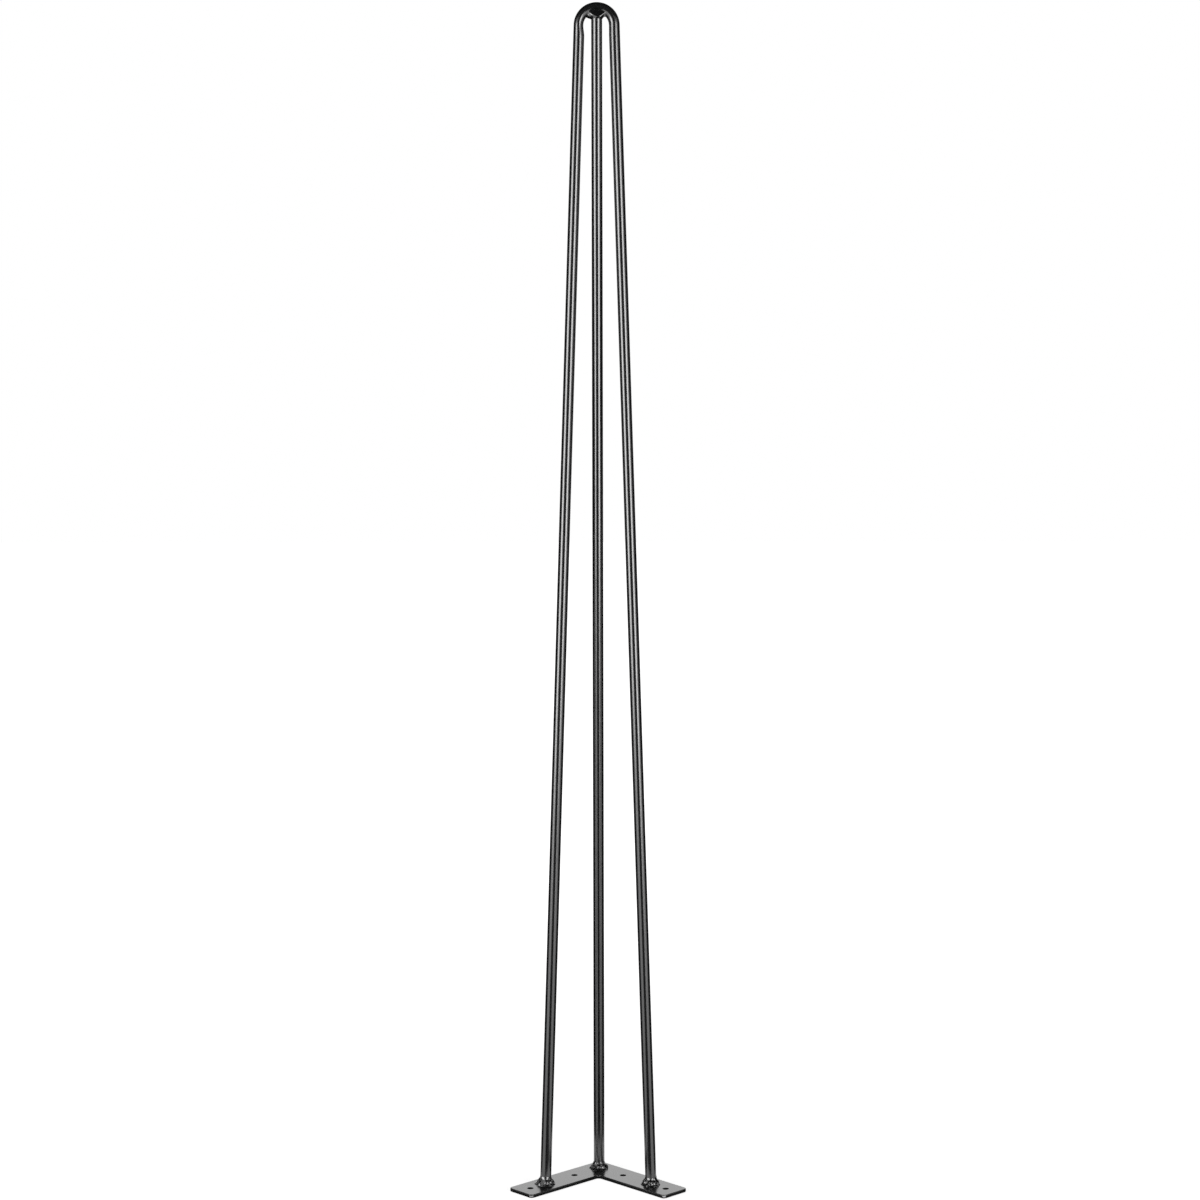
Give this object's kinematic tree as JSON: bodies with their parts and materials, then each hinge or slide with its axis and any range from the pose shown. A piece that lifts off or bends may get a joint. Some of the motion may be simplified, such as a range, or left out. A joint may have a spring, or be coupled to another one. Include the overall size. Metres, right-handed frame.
{
  "type": "hairpin table leg",
  "caption": "Slender welded table leg: a bent round rod and a straight centre rod rise from an L-shaped screw plate to a rounded foot.",
  "frame": {"origin": "On the underside of the mounting plate, on the axis of the centre rod, at the middle of the plate's corner square.", "axes": "+Z runs along the centre rod from the mounting plate up to the foot, as the leg stands in the picture; X runs across the leg from the left arm to the right arm; -Y faces the inside of the L."},
  "size_m": [0.1506, 0.0943, 1.0159],
  "materials": {
    "rod_coat": "satin black powder coat over steel bar",
    "plate_coat": "satin black powder coat over steel plate",
    "weld_coat": "glossier black coat over rippled weld"
  },
  "bodies": {
    "root": {"mounting_plate": "plate_coat", "hairpin_rod": "rod_coat", "centre_rod": "rod_coat", "left_weld": "weld_coat", "right_weld": "weld_coat", "corner_weld": "weld_coat", "foot_weld": "weld_coat"}
  },
  "joints": []
}
